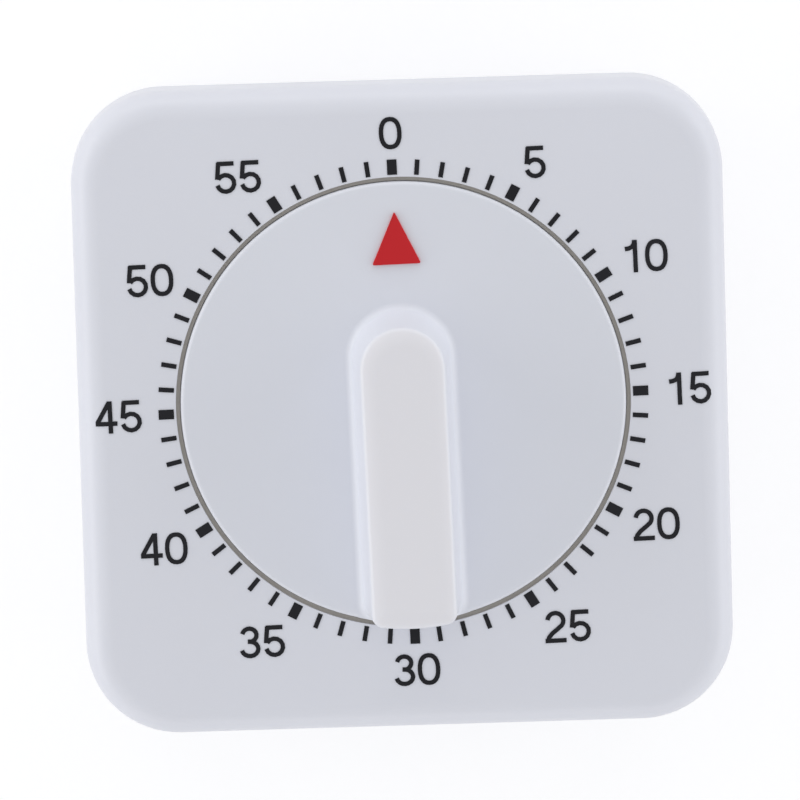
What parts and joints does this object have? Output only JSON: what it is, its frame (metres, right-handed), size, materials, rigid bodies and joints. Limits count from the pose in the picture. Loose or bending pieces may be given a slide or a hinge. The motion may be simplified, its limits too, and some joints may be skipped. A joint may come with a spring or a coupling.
{
  "type": "lab timer",
  "caption": "Square clockwork minute timer with a flush dial, a tall finger grip, a red pointer and a printed minute scale; geared movement, escapement, hammer and bell inside.",
  "frame": {"origin": "middle of the rear face, on which the timer lies", "axes": "+Z out through the dial, +Y towards the zero mark, +X towards the 15 mark"},
  "size_m": [0.07, 0.07, 0.0341],
  "materials": {
    "case_plastic": "white satin moulded plastic",
    "dial_plastic": "white satin moulded plastic",
    "pointer_red": "red moulded plastic",
    "ink": "dark grey print",
    "plate_steel": "plated sheet steel",
    "screw_steel": "plated screw steel",
    "arbor_steel": "turned steel",
    "spring_steel": "blued spring steel",
    "wheel_brass": "stamped brass",
    "wheel_plastic": "natural acetal",
    "bell_steel": "bright nickel plate"
  },
  "bodies": {
    "case": {"front_housing": "case_plastic", "rear_case": "case_plastic", "case_screws": "screw_steel", "minute_marks": "ink", "scale_numerals": "ink", "front_plate": "plate_steel", "rear_plate": "plate_steel", "plate_pillars": "arbor_steel", "movement_screws": "screw_steel", "mainspring": "spring_steel", "spring_stud": "arbor_steel", "bell": "bell_steel", "bell_screw": "screw_steel"},
    "dial": {"dial_knob": "dial_plastic", "pointer_inlay": "pointer_red", "main_arbor": "arbor_steel", "main_wheel": "wheel_brass", "clutch_spring": "spring_steel", "release_cam": "plate_steel"},
    "second": {"second_arbor": "arbor_steel", "second_wheel": "wheel_brass"},
    "third": {"third_arbor": "arbor_steel", "third_wheel": "wheel_plastic"},
    "escape": {"escape_arbor": "arbor_steel", "escape_wheel": "wheel_plastic"},
    "pallet": {"pallet_arbor": "arbor_steel", "pallet_lever": "wheel_plastic"},
    "strike": {"strike_arbor": "arbor_steel", "strike_wheel": "plate_steel"},
    "hammer": {"hammer_arbor": "arbor_steel", "strike_verge": "plate_steel", "lock_arm": "plate_steel", "hammer": "wheel_brass"}
  },
  "joints": [
    {"name": "dial_turn", "type": "hinge", "parent": "case", "child": "dial", "pos_m": [0, 0.0008, 0.013], "axis": [0, 0, -1], "range_deg": [0, 354], "deforming": ["mainspring"]},
    {"name": "second_spin", "type": "hinge", "parent": "case", "child": "second", "pos_m": [-0.01576, 0.0008, 0.013], "axis": [0, 0, -1], "continuous": true},
    {"name": "third_spin", "type": "hinge", "parent": "case", "child": "third", "pos_m": [-0.01389, -0.00985, 0.013], "axis": [0, 0, -1], "continuous": true},
    {"name": "escape_spin", "type": "hinge", "parent": "case", "child": "escape", "pos_m": [-0.00478, -0.01409, 0.013], "axis": [0, 0, -1], "continuous": true},
    {"name": "pallet_rock", "type": "hinge", "parent": "case", "child": "pallet", "pos_m": [0.00137, -0.01409, 0.013], "axis": [0, 0, -1], "range_deg": [-8, 8]},
    {"name": "strike_spin", "type": "hinge", "parent": "case", "child": "strike", "pos_m": [0.00788, 0.01445, 0.013], "axis": [0, 0, -1], "continuous": true},
    {"name": "hammer_swing", "type": "hinge", "parent": "case", "child": "hammer", "pos_m": [0.01273, 0.01445, 0.013], "axis": [0, 0, -1], "range_deg": [-8, 8]}
  ],
  "couplings": [
    {"joint": "second_spin", "follows": "dial_turn", "ratio": -6},
    {"joint": "third_spin", "follows": "dial_turn", "ratio": 30},
    {"joint": "escape_spin", "follows": "dial_turn", "ratio": -240},
    {"joint": "strike_spin", "follows": "dial_turn", "ratio": -6}
  ]
}
